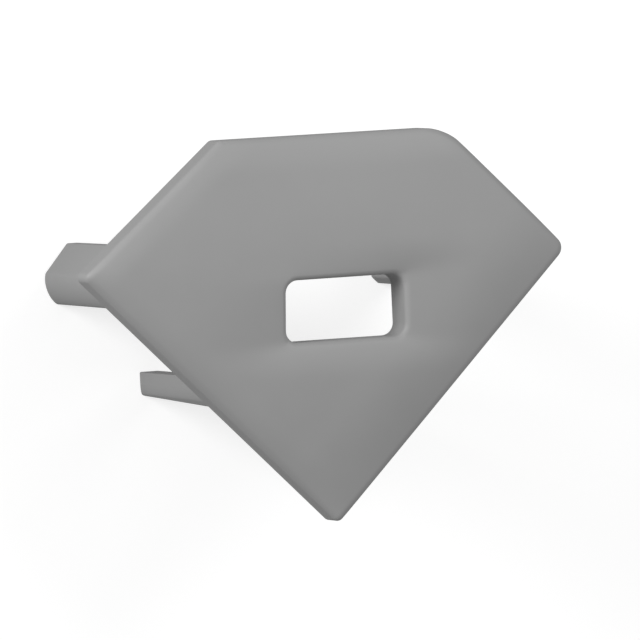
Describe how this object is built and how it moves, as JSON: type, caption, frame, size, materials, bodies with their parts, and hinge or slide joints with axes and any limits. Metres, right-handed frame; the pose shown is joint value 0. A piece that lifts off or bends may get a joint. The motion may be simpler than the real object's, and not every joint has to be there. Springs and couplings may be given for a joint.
{
  "type": "profile end cap",
  "caption": "Flat end cap for a corner-shaped aluminium profile, with a rectangular cable outlet in the plate and straight press-in prongs behind it.",
  "frame": {"origin": "centre of the 16 mm profile square, on the flat seat face behind the plate", "axes": "+X along the cover edge, towards the round shoulder; +Y from the profile's corner towards its cover; +Z out of the closed end, away from the prongs"},
  "size_m": [0.0223, 0.0167, 0.0124],
  "materials": {
    "moulded_plastic": "satin moulded plastic, mid grey"
  },
  "bodies": {
    "root": {"end_cap": "moulded_plastic"}
  },
  "joints": []
}
